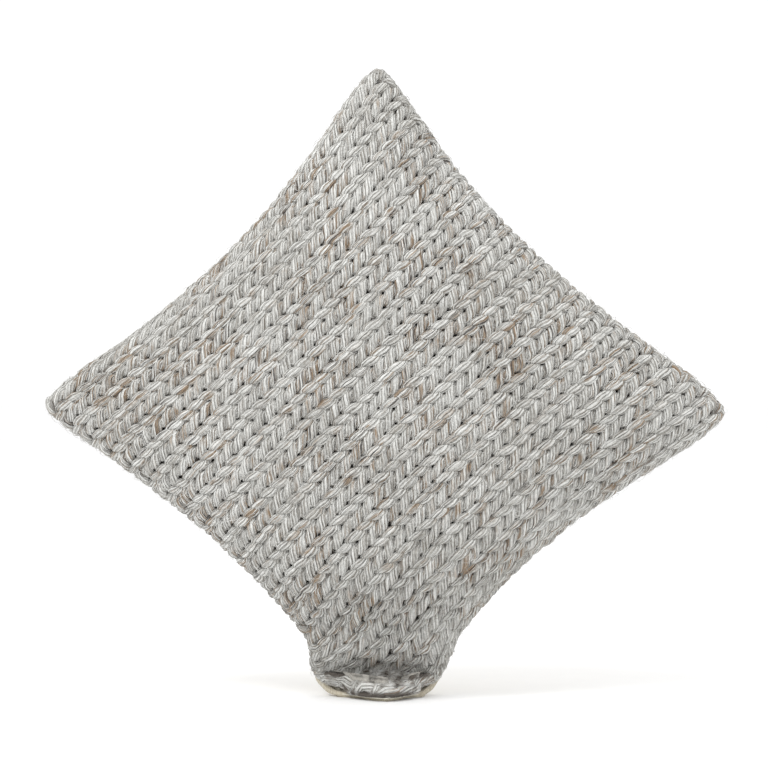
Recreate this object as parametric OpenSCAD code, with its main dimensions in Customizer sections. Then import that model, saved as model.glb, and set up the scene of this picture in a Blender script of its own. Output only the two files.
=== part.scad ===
// Square throw pillow that stands on one crushed corner.
// A knitted wool front and a woven back with a zip hold a loose stuffed insert.
// +Z is up, the knitted front faces -Y, and z = 0 is the surface that the folded tip rests on.
// Positions on the pillow are u (along the knitted columns) and v (across them), each from -1 to 1.

/* [Cover] */
// Side of the stuffed cover along the knitted columns, tip to tip
cover_w = 438; // [380:1:530]
// Side of the stuffed cover across the knitted columns, tip to tip
cover_h = 438; // [380:1:530]
// Thickness of the stuffed pillow at its middle
cover_t = 160; // [130:1:200]
// How far the upper left side pulls in at its middle
pull_top = 27; // [10:1:40]
// How far the upper right side pulls in at its middle
pull_right = 26; // [10:1:40]
// How far the lower right side pulls in at its middle
pull_bottom = 38; // [10:1:40]
// How far the lower left side pulls in at its middle
pull_left = 29; // [10:1:40]
// Share by which the upper right side is deeper towards the top tip
skew_right = 0.3; // [0:0.05:0.5]
// Share by which the lower right side is deeper towards the crushed tip
skew_bottom = 0.35; // [0:0.05:0.5]
// How far each rounded tip falls short of a sharp corner
tip_round = 8; // [2:1:12]
// Angle between the knitted columns and the ground
turn = 44.4; // [42:0.1:48]
// Sideways lean of the square, in mm for each mm of height
lean = 0.03; // [0:0.005:0.05]

/* [Fabric] */
// Thickness of the knitted front
knit_t = 8; // [5:0.5:12]
// Thickness of the lining behind the knit
lining_t = 0.7; // [0.5:0.1:1.5]
// Thickness of the woven back
back_t = 2; // [1:0.1:4]
// Gap between two layers of cloth that lie on each other
layer_gap = 0.3; // [0.2:0.05:0.6]
// Height of the open seam between front and back, where the stitches run
seam_gap = 2; // [1.6:0.1:4]
// Diameter of the seam thread
thread_d = 1; // [0.6:0.1:1.4]
// Distance from the cover's edge to the seam thread
thread_inset = 3; // [2:0.5:6]
// Thickness of the binding tape on the inner seam
binding_t = 0.4; // [0.3:0.1:1]
// Distance from the cover's edge to the binding tape
binding_inset = 5; // [4:0.5:9]
// Width of the binding tape
binding_w = 9; // [6:0.5:12]

/* [Crushed corner] */
// How far the folded tip would reach below the ground if it were straight
tip_fold = 43; // [30:1:60]
// Radius of the fold at the middle of the cloth
fold_r = 22; // [18:0.5:26]
// Height at which the fold starts
fold_z = 25; // [22:0.5:34]
// Height at which the neck above the fold starts
neck_z = 120; // [90:1:160]
// Share of the stuffing that is squeezed out of the neck
neck_squeeze = 0.62; // [0.5:0.01:0.75]
// How far the heel of the fold stands back from the pillow's middle plane
heel_back = 26; // [10:1:30]
// Height at which the crushed neck starts to spread sideways
spread_z = 55; // [40:1:80]
// Share by which the folded part spreads sideways
neck_spread = 0.35; // [0:0.01:0.5]
// Sideways shift of the fold towards the left
foot_shift = 5; // [0:1:15]

/* [Insert] */
// Gap between the cover's edge and the insert's edge
insert_gap = 17; // [15:1:24]
// How far each corner of the insert falls short of a sharp corner
insert_round = 26; // [15:1:40]
// How far the insert's corner in the crushed tip falls short of a sharp corner
insert_crushed = 44; // [42:1:60]
// Thickness of the insert's case
case_t = 0.7; // [0.5:0.1:1.5]
// Gap between the cover's inside and the insert at the middle
insert_slack = 2; // [1:0.5:5]
// Diameter of the overlocked edge of the insert
overlock_d = 1.6; // [1:0.1:2.4]

/* [Zip] */
// Distance from the cover's middle to the zip
zip_v = 148; // [130:1:155]
// Distance from each end of the cover to the zip's opening
zip_margin = 49; // [44:1:80]
// How far the zip's middle stands out from its ends
zip_bow = 22; // [16:1:30]
// Slope of the back cloth at the zip
zip_tilt = 24; // [15:1:30]
// Clearance between the slider's side and the edge of the back cloth
gap_play = 2.3; // [1.5:0.1:4]
// Width of one tape, from the teeth's middle line outwards
tape_w = 15; // [12:0.5:20]
// Thickness of the tapes
tape_t = 0.8; // [0.5:0.1:1.2]
// Distance from one tooth to the next
tooth_pitch = 2.5; // [2:0.1:4]
// Diameter of each tooth
tooth_d = 1.3; // [1:0.1:1.8]
// Distance from the middle line to the outer ends of the teeth
tooth_reach = 3.2; // [2.5:0.1:4]
// Width of the channel between the two rows of teeth
tooth_gap = 1.6; // [1.4:0.1:2.4]
// Length of the slider
slider_l = 13; // [10:0.5:18]
// Thickness of each of the slider's plates
slider_plate = 1.2; // [0.8:0.1:2]
// Running clearance of the slider on the chain
slider_fit = 0.35; // [0.3:0.05:0.6]
// Diameter of the pin that the pull turns on
pin_d = 1.1; // [0.9:0.1:1.6]
// Running clearance of the pull on its pin and between the lugs
pull_fit = 0.35; // [0.3:0.05:0.5]
// Length of the pull from its pin
pull_l = 24; // [15:1:35]
// Width of the pull
pull_w = 6; // [5:0.5:8]
// Thickness of the pull
pull_t = 1.4; // [1:0.1:2]

/* [Label] */
// Width of the blank care label inside the cover
label_w = 26; // [15:1:40]
// Thickness of the care label
label_t = 0.4; // [0.3:0.1:0.6]

/* [Hidden] */

half_w = cover_w / 2;
half_h = cover_h / 2;
half_t = cover_t / 2;

// Shape of the stuffing: 1 in the middle, 0 at every side, flat in the corners
dome_power = 0.6;
function dome(u, v) = pow(max(0, (1 - u * u) * (1 - v * v)), dome_power);

// Goes smoothly from 0 to 1
function ease(t) = let (s = min(1, max(0, t))) s * s * (3 - 2 * s);

// Place on the middle plane, in the pillow's own axes: sides pulled in, tips rounded
tip_sharpness = 20;
insert_sharpness = 6;
pull_power = 1.3;
function pull_at(depth, s, skew) = depth * pow(max(0, 1 - s * s), pull_power) * (1 + skew * s);
function spot(u, v, w, h, rounding, sharpness) =
    let (
        pull_u = u > 0 ? pull_at(pull_right, v, skew_right) : pull_at(pull_left, v, 0),
        pull_v = v > 0 ? pull_at(pull_top, u, 0) : pull_at(pull_bottom, u, -skew_bottom),
        short = rounding * pow(abs(u * v), sharpness)
    )
    [u * w - pull_u * pow(u, 3) - sign(u) * short,
     v * h - pull_v * pow(v, 3) - sign(v) * short];
function cover_spot(u, v) = spot(u, v, half_w, half_h, tip_round, tip_sharpness);
function insert_spot(u, v) =
    spot(u, v, half_w - insert_gap, half_h - insert_gap,
        u < 0 && v < 0 ? insert_crushed : insert_round, insert_sharpness);

// The square turned onto its corner, in x and z
tip = [half_w - tip_round, half_h - tip_round];
middle_z = tip[0] * sin(turn) + tip[1] * cos(turn) - tip_fold;
function stand(p) =
    let (rise = p[0] * sin(turn) + p[1] * cos(turn))
    [p[0] * cos(turn) - p[1] * sin(turn) - lean * rise, middle_z + rise];
left_tip = stand([-tip[0], tip[1]]);
right_tip = stand([tip[0], -tip[1]]);
middle_x = (left_tip[0] + right_tip[0]) / 2;
foot_x = stand(-tip)[0] - middle_x;

// The crush: the neck leans back, spreads, then folds forward onto the ground.
// floor_z is the height that this layer of cloth keeps above the ground.
function neck(z) = ease((neck_z - z) / (neck_z - fold_z));
function stuffing(z) = 1 - neck_squeeze * neck(z);
function crush(p, floor_z) =
    let (
        x = p[0] - middle_x,
        k = neck(p[2]),
        wide = ease((spread_z - p[2]) / (2 * fold_z)),
        below = max(0, fold_z - p[2]),
        angle = min(90, below / fold_r * 180 / PI),
        beyond = max(0, below - fold_r * PI / 2)
    )
    [foot_x + (x - foot_x) * (1 + neck_spread * wide) - foot_shift * wide,
     heel_back * k - fold_r * (1 - cos(angle)) - beyond + p[1] * cos(angle),
     max(floor_z, (below > 0 ? fold_z - fold_r * sin(angle) : p[2]) - p[1] * sin(angle))];

// A layer of cloth is [height over the middle plane at the seam, the same at the pillow's
// middle, height over the ground under the fold]; a layer in front of the plane is negative.
back_in = [seam_gap / 2, half_t - back_t, back_t];
back_out = [seam_gap / 2 + back_t, half_t, 0];
lining_front = seam_gap / 2 + lining_t;
lining_lift = 1.4;
lining_in = [-seam_gap / 2, -(half_t - knit_t - layer_gap - lining_t), back_t + lining_lift];
lining_out = [-lining_front, -(half_t - knit_t - layer_gap), lining_in[2] + lining_t];
knit_in = [-lining_front - layer_gap, -(half_t - knit_t), lining_out[2] + layer_gap];
knit_out = [-lining_front - layer_gap - knit_t, -half_t, knit_in[2] + knit_t];
// Room under the zip's tapes for the slider's inner plate
slider_room = slider_plate + 2;
case_edge = 0.2;
case_front_out = [-case_edge - case_t, lining_in[1] + insert_slack, lining_in[2]];
case_front_in = [-case_edge, case_front_out[1] + case_t, lining_in[2]];
case_back_out = [case_edge + case_t, back_in[1] - insert_slack - slider_room, back_t];
case_back_in = [case_edge, case_back_out[1] - case_t, back_t];
fill_front = [-case_edge / 2, case_front_in[1] + layer_gap, back_t];
fill_back = [case_edge / 2, case_back_in[1] - layer_gap, back_t];

function layer_y(layer, u, v, z) = layer[0] + (layer[1] - layer[0]) * dome(u, v) * stuffing(z);
function layer_point(layer, u, v, at) =
    crush([at[0], layer_y(layer, u, v, at[1]), at[1]], layer[2]);
function on_cover(layer, u, v) = layer_point(layer, u, v, stand(cover_spot(u, v)));
function on_insert(layer, u, v) = layer_point(layer, u, v, stand(insert_spot(u, v)));

// Widths across the zip: the slider's side rails, the slider, the opening in the back cloth
rail_w = 0.8;
slider_w = 2 * (tooth_reach + 2 * slider_fit + rail_w);
zip_gap = slider_w + 2 * gap_play;

// The zip lies on a cylinder about a far axis, so the slider's path is an arc.
// Its frame: along points up the columns, across points to the upper left, out to the back.
zip_half = half_w - zip_margin;
zip_r = (zip_half * zip_half + zip_bow * zip_bow) / (2 * zip_bow);
zip_place = stand([0, zip_v]);
along_angle = atan2(sin(turn), cos(turn) - lean * sin(turn));
along = [cos(along_angle), 0, sin(along_angle)];
flat_across = [-sin(along_angle), 0, cos(along_angle)];
outwards = [0, 1, 0] * cos(zip_tilt) + flat_across * sin(zip_tilt);
across = flat_across * cos(zip_tilt) - [0, 1, 0] * sin(zip_tilt);
// v of the zip's line at the middle of the pillow
function find_v(u, target, v, steps) =
    steps == 0 ? v : find_v(u, target, v + (target - offset_across(u, v)) / half_h, steps - 1);
function offset_from_zip(at) =
    [(at[0] - zip_place[0]) * along[0] + (at[1] - zip_place[1]) * along[2],
     (at[0] - zip_place[0]) * flat_across[0] + (at[1] - zip_place[1]) * flat_across[2]];
function offset_across(u, v) = offset_from_zip(stand(cover_spot(u, v)))[1];
zip_mid_v = find_v(0, 0, 0.7, 8);
zip_y = layer_y(back_out, 0, zip_mid_v, zip_place[1]) - (layer_gap + back_t) / cos(zip_tilt);
zip_centre = [zip_place[0] - middle_x, zip_y, zip_place[1]] - outwards * zip_r;

// Height of the back cloth where it is sewn over the tapes, rise above the tapes' face
function sag(reach, rise) = sqrt(pow(zip_r + rise, 2) - reach * reach) - zip_r;
function zip_layer_y(offset, rise) =
    zip_y - offset[1] * tan(zip_tilt) + sag(offset[0], rise) / cos(zip_tilt);
function zip_across(offset) = (offset[1] - sag(offset[0], 0) * sin(zip_tilt)) / cos(zip_tilt);
sewn_band = tape_w + 4;
blend_w = 28;
tape_past = 9;
function reach_at(u) = offset_from_zip(stand(cover_spot(u, zip_mid_v)))[0];
end_blend = min(reach_at(1), -reach_at(-1)) - zip_half - tape_past - 2;
function away_from_zip(offset) =
    max(ease((abs(zip_across(offset)) - sewn_band) / blend_w),
        ease((abs(offset[0]) - zip_half - tape_past) / end_blend));
function on_back(layer, rise, u, v) =
    let (
        at = stand(cover_spot(u, v)),
        offset = offset_from_zip(at),
        away = away_from_zip(offset),
        free_y = layer_y(layer, u, v, at[1]),
        y = away == 1 ? free_y : free_y * away + zip_layer_y(offset, rise) * (1 - away)
    )
    crush([at[0], y, at[1]], layer[2]);

// Columns and rows of the cloth grids, closer together in the crushed corner
close_end = -0.62;
close_steps = 10;
wide_steps = 14;
function even(from, to, steps, first) = [for (i = [first:steps]) from + (to - from) * i / steps];
function tightening(from, to, steps, first) =
    [for (i = [first:steps]) let (t = i / steps) from + (to - from) * (t + 0.25 * t * (1 - t))];
cloth_lines = concat(even(-1, close_end, close_steps, 0), tightening(close_end, 1, wide_steps, 1));
insert_steps = 12;
insert_lines = [for (i = [0:insert_steps]) let (t = 2 * i / insert_steps - 1)
    0.7 * t + 0.3 * sin(90 * t)];

// Columns of the back line up with the ends of the zip's opening
function find_u(target, u, steps) =
    steps == 0 ? u : find_u(target, u + (target - reach_at(u)) / half_w, steps - 1);
open_right = find_u(zip_half + 1, 0.8, 8);
shut_right = find_u(zip_half + tape_past, 0.8, 8);
open_left = find_u(-zip_half - 1, -0.8, 8);
shut_left = find_u(-zip_half - tape_past, -0.8, 8);
back_columns = concat(even(-1, shut_left, 4, 0), [open_left], even(open_left, close_end, 5, 1),
    even(close_end, open_right, 12, 1), [shut_right], even(shut_right, 1, 3, 1));
// Half the opening in the back cloth at a column; the two parts nearly meet beyond its ends
sewn_shut = 0.15;
just = 0.001;
function half_gap(u) =
    u >= open_left - just && u <= open_right + just ? zip_gap / 2 : sewn_shut;
function beside_zip(u, distance) =
    let (drop = sag(reach_at(u), 0) * sin(zip_tilt))
    find_v(u, drop + distance * cos(zip_tilt), zip_mid_v, 8);
function main_rows(u) =
    let (sewn = beside_zip(u, -sewn_band), top = beside_zip(u, -half_gap(u)))
    concat(even(-1, close_end, close_steps, 0), even(close_end, sewn, 8, 1), [top]);
function strip_rows(u) =
    let (top = beside_zip(u, half_gap(u)), sewn = beside_zip(u, sewn_band))
    concat([top], even(sewn, 1, 3, 0));

// A piece of cloth between two grids of points; turned swaps the inside and the outside
module cloth(outer, inner, turned = false) {
    rows = len(outer);
    cols = len(outer[0]);
    count = rows * cols;
    rim = concat(
        [for (j = [0:cols - 1]) j],
        [for (i = [1:rows - 1]) i * cols + cols - 1],
        [for (j = [cols - 2:-1:0]) (rows - 1) * cols + j],
        [for (i = [rows - 2:-1:1]) i * cols]);
    faces = [
        for (i = [0:rows - 2], j = [0:cols - 2], half = [0, 1])
            let (a = i * cols + j, c = a + cols + 1)
            half == 0 ? [a, a + 1, c] : [a, c, a + cols],
        for (i = [0:rows - 2], j = [0:cols - 2], half = [0, 1])
            let (a = i * cols + j + count, c = a + cols + 1)
            half == 0 ? [a, c, a + 1] : [a, a + cols, c],
        for (k = [0:len(rim) - 1], half = [0, 1])
            let (p = rim[k], q = rim[(k + 1) % len(rim)])
            half == 0 ? [q, p, p + count] : [q, p + count, q + count]
    ];
    polyhedron(
        points = [for (grid = [outer, inner], row = grid) each row],
        faces = turned ? faces : [for (f = faces) [f[0], f[2], f[1]]],
        convexity = 6);
}

// Points once round the edge of a grid of lines, each [u, v]
function round_edge(lines, reach) =
    let (last = len(lines) - 1)
    concat(
        [for (i = [0:last - 1]) [lines[i], -1] * reach],
        [for (i = [0:last - 1]) [1, lines[i]] * reach],
        [for (i = [last:-1:1]) [lines[i], 1] * reach],
        [for (i = [last:-1:1]) [-1, lines[i]] * reach]);

// A closed ring whose cross-sections are lists of points. Its two sides are split along the
// same diagonals, so a flat ring keeps its thickness where it twists.
module ring(sections) {
    n = len(sections);
    sides = len(sections[0]);
    faces = [
        for (i = [0:n - 1], j = [0:sides - 1], half = [0, 1])
            let (
                a = i * sides + j,
                b = i * sides + (j + 1) % sides,
                c = ((i + 1) % n) * sides + (j + 1) % sides,
                d = ((i + 1) % n) * sides + j
            )
            j < sides / 2 ? (half == 0 ? [a, b, c] : [a, c, d]) : (half == 0 ? [a, b, d] : [b, c, d])
    ];
    polyhedron(points = [for (s = sections) each s], faces = faces, convexity = 10);
}

// Thread of diameter d along a closed path of points
thread_sides = 6;
module thread_ring(path, d) {
    n = len(path);
    ring([
        for (i = [0:n - 1])
            let (
                run = path[(i + 1) % n] - path[(i + n - 1) % n],
                ahead = run / norm(run),
                side = cross(ahead, [0, 1, 0]),
                right = side / norm(side),
                up = cross(right, ahead)
            )
            [for (k = [0:thread_sides - 1])
                let (angle = 360 * k / thread_sides)
                path[i] + (right * cos(angle) + up * sin(angle)) * d / 2]
    ]);
}

// Zip pieces are drawn with x outwards, y down the columns and z across, about the far axis
module on_zip_axis() {
    multmatrix([
        [outwards[0], -along[0], across[0], zip_centre[0]],
        [outwards[1], -along[1], across[1], zip_centre[1]],
        [outwards[2], -along[2], across[2], zip_centre[2]],
        [0, 0, 0, 1]
    ]) children();
}
// Puts children on the tapes' outer face, at a distance down the columns from the zip's middle
module on_chain(distance) {
    rotate([0, 0, distance / zip_r * 180 / PI]) translate([zip_r, 0, 0]) children();
}
// A strip that follows the zip, from one distance to another
module along_chain(from, to) {
    start = from / zip_r * 180 / PI;
    rotate([0, 0, start])
        rotate_extrude(angle = to / zip_r * 180 / PI - start, $fn = 360)
            translate([zip_r, 0]) children();
}

// Lengths along the chain
stop_l = 2.4;
chain_end = 4;
chain_half = zip_half - chain_end;
slider_rest = -chain_half + stop_l + slider_fit + slider_l / 2;
tooth_rows = floor((2 * chain_half - 3 * stop_l) / tooth_pitch);
// Heights over the tapes' outer face
tooth_lift = 0.05;
channel_top = tooth_d + tooth_lift + slider_fit;
slider_top = channel_top + slider_plate;
slider_under = -tape_t - slider_fit;
eye_wall = 0.6;
eye_r = pin_d / 2 + pull_fit + eye_wall;
pin_x = slider_top + pull_fit + eye_r;
// The lugs that hold the pin, and where it lies along the slider
lug_t = 1;
lug_l = 3.4;
pin_y = -2;

// The tapes' edges stand back from the inner ends of the teeth
tape_set_back = 0.1;
module tape(side) {
    near = tooth_gap / 2 + tape_set_back;
    low = side > 0 ? near : -tape_w;
    along_chain(-zip_half - tape_past, zip_half + tape_past)
        translate([-tape_t, low]) square([tape_t, tape_w - near]);
}

module teeth(side) {
    reach = tooth_reach - tooth_gap / 2;
    for (i = [0:tooth_rows - 1]) {
        on_chain(-chain_half + 1.5 * stop_l + (i + (side > 0 ? 0.5 : 0)) * tooth_pitch)
            translate([tooth_d / 2 + tooth_lift, 0, side > 0 ? tooth_gap / 2 : -tooth_reach])
                cylinder(d = tooth_d, h = reach, $fn = 24);
    }
}

// A block on the chain: size and centre outwards, along and across
module block(size, centre) {
    translate([centre[0] - size[0] / 2, centre[1] - size[1] / 2, centre[2] - size[2] / 2])
        cube(size);
}

module knit_front() {
    color([0.72, 0.71, 0.68])
        cloth(
            [for (v = cloth_lines) [for (u = cloth_lines) on_cover(knit_out, u, v)]],
            [for (v = cloth_lines) [for (u = cloth_lines) on_cover(knit_in, u, v)]]);
}

module front_lining() {
    color([0.78, 0.76, 0.70])
        cloth(
            [for (v = cloth_lines) [for (u = cloth_lines) on_cover(lining_out, u, v)]],
            [for (v = cloth_lines) [for (u = cloth_lines) on_cover(lining_in, u, v)]]);
}

module back_main() {
    rise = layer_gap + back_t;
    color([0.87, 0.83, 0.73])
        cloth(
            [for (u = back_columns) [for (v = main_rows(u)) on_back(back_out, rise, u, v)]],
            [for (u = back_columns) [for (v = main_rows(u)) on_back(back_in, layer_gap, u, v)]]);
}

module back_strip() {
    rise = layer_gap + back_t;
    color([0.87, 0.83, 0.73])
        cloth(
            [for (u = back_columns) [for (v = strip_rows(u)) on_back(back_out, rise, u, v)]],
            [for (u = back_columns) [for (v = strip_rows(u)) on_back(back_in, layer_gap, u, v)]]);
}

// Cotton tape that binds the raw edges of the seam, inside the cover
module seam_binding() {
    outer_reach = 1 - binding_inset / half_w;
    inner_reach = outer_reach - binding_w / half_w;
    outer = round_edge(cloth_lines, outer_reach);
    inner = round_edge(cloth_lines, inner_reach);
    low = back_t + 0.4;
    front = [-binding_t / 2, -binding_t / 2, low + binding_t];
    rear = [binding_t / 2, binding_t / 2, low];
    color([0.80, 0.77, 0.68])
        ring([for (i = [0:len(outer) - 1])
            [on_cover(front, inner[i][0], inner[i][1]), on_cover(rear, inner[i][0], inner[i][1]),
             on_cover(rear, outer[i][0], outer[i][1]), on_cover(front, outer[i][0], outer[i][1])]]);
}

// Lockstitch thread that joins front and back
module seam_thread() {
    reach = 1 - thread_inset / half_w;
    middle = [0, 0, back_t + 0.2 + thread_d / 2];
    color([0.86, 0.84, 0.78])
        thread_ring([for (p = round_edge(cloth_lines, reach)) on_cover(middle, p[0], p[1])], thread_d);
}

module zip_tape_main() {
    color([0.83, 0.80, 0.72]) on_zip_axis() tape(-1);
}

module zip_tape_strip() {
    color([0.83, 0.80, 0.72]) on_zip_axis() tape(1);
}

module zip_teeth_main() {
    color([0.88, 0.86, 0.80]) on_zip_axis() teeth(-1);
}

module zip_teeth_strip() {
    color([0.88, 0.86, 0.80]) on_zip_axis() teeth(1);
}

// Two small clips that keep the slider on the chain at the closed end
module zip_top_stops() {
    color([0.62, 0.62, 0.60]) on_zip_axis() on_chain(-chain_half)
        for (side = [-1, 1]) {
            block([tooth_d, stop_l, tooth_reach - tooth_gap / 2],
                [tooth_d / 2 + tooth_lift, 0, side * (tooth_reach + tooth_gap / 2) / 2]);
        }
}

// One box across both rows at the open end
module zip_bottom_stop() {
    color([0.62, 0.62, 0.60]) on_zip_axis() on_chain(chain_half)
        block([tooth_d, stop_l, 2 * tooth_reach], [tooth_d / 2 + tooth_lift, 0, 0]);
}

// The two rows of topstitching that hold the back cloth to the tapes
module zip_stitches() {
    stitch_d = 0.7;
    edge_margin = 2.5;
    place = zip_gap / 2 + edge_margin;
    color([0.90, 0.88, 0.82]) on_zip_axis()
        for (side = [-1, 1]) {
            along_chain(-zip_half, zip_half)
                translate([2 * layer_gap + back_t + stitch_d / 2, side * place])
                    circle(d = stitch_d, $fn = 24);
        }
}

// Dense stitching across both ends of the opening
module zip_bar_tacks() {
    tack_t = 0.8;
    tack_w = 1.6;
    color([0.90, 0.88, 0.82]) on_zip_axis()
        for (end = [-1, 1]) {
            on_chain(end * (zip_half + tape_past / 2))
                block([tack_t, tack_w, zip_gap], [2 * layer_gap + back_t + tack_t / 2, 0, 0]);
        }
}

// Die-cast slider: two plates joined by a web that runs between the teeth, and two lugs with a pin
module zip_slider() {
    web_l = 3;
    web_w = tooth_gap - 2 * slider_fit;
    rail_top = slider_top - slider_plate / 2;
    rail_h = rail_top - slider_fit;
    over_pin = 0.5;
    lug_top = pin_x + pin_d / 2 + over_pin;
    lug_h = lug_top - slider_top + slider_plate / 2;
    lug_z = eye_w / 2 + pull_fit + lug_t / 2;
    height = slider_top - slider_under;
    corner_cut = 2;
    color([0.60, 0.59, 0.56]) on_zip_axis() on_chain(slider_rest)
        difference() {
            union() {
                block([slider_plate, slider_l, slider_w], [slider_top - slider_plate / 2, 0, 0]);
                block([slider_plate, slider_l, slider_w], [slider_under - slider_plate / 2, 0, 0]);
                block([height, web_l, web_w],
                    [slider_top - height / 2, (web_l - slider_l) / 2, 0]);
                for (side = [-1, 1]) {
                    block([rail_h, slider_l, rail_w],
                        [rail_top - rail_h / 2, 0, side * (slider_w - rail_w) / 2]);
                    block([lug_h, lug_l, lug_t], [lug_top - lug_h / 2, pin_y, side * lug_z]);
                }
                translate([pin_x, pin_y, -lug_z]) cylinder(d = pin_d, h = 2 * lug_z, $fn = 32);
            }
            for (side = [-1, 1]) {
                translate([0, slider_l / 2, side * slider_w / 2])
                    rotate([45, 0, 0]) cube([4 * height, corner_cut, corner_cut], center = true);
            }
        }
}

// Pull tab with an eye that turns on the slider's pin
eye_w = pull_w - 2;
module zip_pull() {
    neck_end = pull_l / 3;
    round_y = pull_l - pull_w / 2;
    neck_start = eye_r - eye_wall;
    hole_d = 2.6;
    color([0.60, 0.59, 0.56]) on_zip_axis() on_chain(slider_rest)
        translate([pin_x, pin_y, 0])
            difference() {
                union() {
                    translate([0, 0, -eye_w / 2]) cylinder(r = eye_r, h = eye_w, $fn = 48);
                    block([pull_t, neck_end - neck_start + 1, eye_w],
                        [0, (neck_end + neck_start + 1) / 2, 0]);
                    block([pull_t, round_y - neck_end, pull_w], [0, (round_y + neck_end) / 2, 0]);
                    translate([-pull_t / 2, round_y, 0])
                        rotate([0, 90, 0]) cylinder(d = pull_w, h = pull_t, $fn = 48);
                }
                translate([0, 0, -pull_w]) cylinder(r = eye_r - eye_wall, h = 2 * pull_w, $fn = 48);
                translate([-pull_t, round_y, 0])
                    rotate([0, 90, 0]) cylinder(d = hole_d, h = 2 * pull_t, $fn = 32);
            }
}

// Blank woven label that lies between the insert and the back, caught in the right-hand seam
module care_label() {
    half_v = label_w / 2 / half_h;
    middle_v = -0.25;
    us = even(0.84, 0.955, 4, 0);
    vs = even(middle_v - half_v, middle_v + half_v, 3, 0);
    label_slack = 10;
    high = [seam_gap / 2 - 0.2, back_in[1] - label_slack, back_t];
    low = [high[0] - label_t, high[1] - label_t, back_t];
    color([0.95, 0.95, 0.93])
        cloth(
            [for (v = vs) [for (u = us) on_cover(high, u, v)]],
            [for (v = vs) [for (u = us) on_cover(low, u, v)]], turned = true);
}

module insert_case_front() {
    color([0.96, 0.96, 0.94])
        cloth(
            [for (v = insert_lines) [for (u = insert_lines) on_insert(case_front_out, u, v)]],
            [for (v = insert_lines) [for (u = insert_lines) on_insert(case_front_in, u, v)]]);
}

module insert_case_back() {
    color([0.96, 0.96, 0.94])
        cloth(
            [for (v = insert_lines) [for (u = insert_lines) on_insert(case_back_in, u, v)]],
            [for (v = insert_lines) [for (u = insert_lines) on_insert(case_back_out, u, v)]]);
}

// Overlocked edge that closes the insert's case
module insert_seam() {
    stand_off = overlock_d / 2 + 3 * layer_gap;
    edge = [0, 0, back_t + overlock_d];
    path = [for (p = round_edge(insert_lines, 1)) insert_spot(p[0], p[1])];
    n = len(path);
    color([0.90, 0.90, 0.88])
        thread_ring([
            for (i = [0:n - 1])
                let (
                    run = path[(i + 1) % n] - path[(i + n - 1) % n],
                    out = [run[1], -run[0]] / norm(run)
                )
                layer_point(edge, 1, 1, stand(path[i] + out * stand_off))
        ], overlock_d);
}

// Loose polyester fibre
module insert_fill() {
    color([0.98, 0.98, 0.97])
        cloth(
            [for (v = insert_lines) [for (u = insert_lines) on_insert(fill_front, u, v)]],
            [for (v = insert_lines) [for (u = insert_lines) on_insert(fill_back, u, v)]]);
}

knit_front();
front_lining();
back_main();
back_strip();
seam_binding();
seam_thread();
zip_tape_main();
zip_tape_strip();
zip_teeth_main();
zip_teeth_strip();
zip_top_stops();
zip_bottom_stop();
zip_stitches();
zip_bar_tacks();
zip_slider();
zip_pull();
care_label();
insert_case_front();
insert_case_back();
insert_seam();
insert_fill();
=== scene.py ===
import math
import bmesh
import bpy
import numpy as np
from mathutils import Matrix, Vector


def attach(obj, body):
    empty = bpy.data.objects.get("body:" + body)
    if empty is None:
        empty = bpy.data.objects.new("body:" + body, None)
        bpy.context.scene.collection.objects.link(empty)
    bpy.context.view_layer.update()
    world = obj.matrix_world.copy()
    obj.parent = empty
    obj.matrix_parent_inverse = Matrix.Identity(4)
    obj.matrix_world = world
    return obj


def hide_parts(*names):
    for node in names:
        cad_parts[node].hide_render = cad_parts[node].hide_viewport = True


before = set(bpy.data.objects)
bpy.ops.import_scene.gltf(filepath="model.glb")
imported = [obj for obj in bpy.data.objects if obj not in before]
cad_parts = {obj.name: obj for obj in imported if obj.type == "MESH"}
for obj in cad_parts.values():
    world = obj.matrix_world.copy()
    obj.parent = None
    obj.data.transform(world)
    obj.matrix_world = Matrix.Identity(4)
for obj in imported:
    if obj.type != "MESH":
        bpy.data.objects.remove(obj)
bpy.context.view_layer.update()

# ---------------------------------------------------------------- camera, light and floor
# The pillow stands on its lower corner and faces the camera, which looks level at it from
# the front, so that the whole square fills most of the view.
view_width = 0.677
view_distance = 2.2
view_centre = Vector((-0.0009, 0.0, 0.2767))
camera = bpy.data.objects.new("camera", bpy.data.cameras.new("camera"))
camera.data.sensor_width = 36.0
camera.data.lens = 36.0 * view_distance / view_width
camera.location = view_centre + Vector((0, -view_distance, 0))
camera.rotation_euler = (math.radians(90), 0, 0)
bpy.context.scene.collection.objects.link(camera)
bpy.context.scene.camera = camera
bpy.context.scene.view_settings.view_transform = "Standard"


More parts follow.
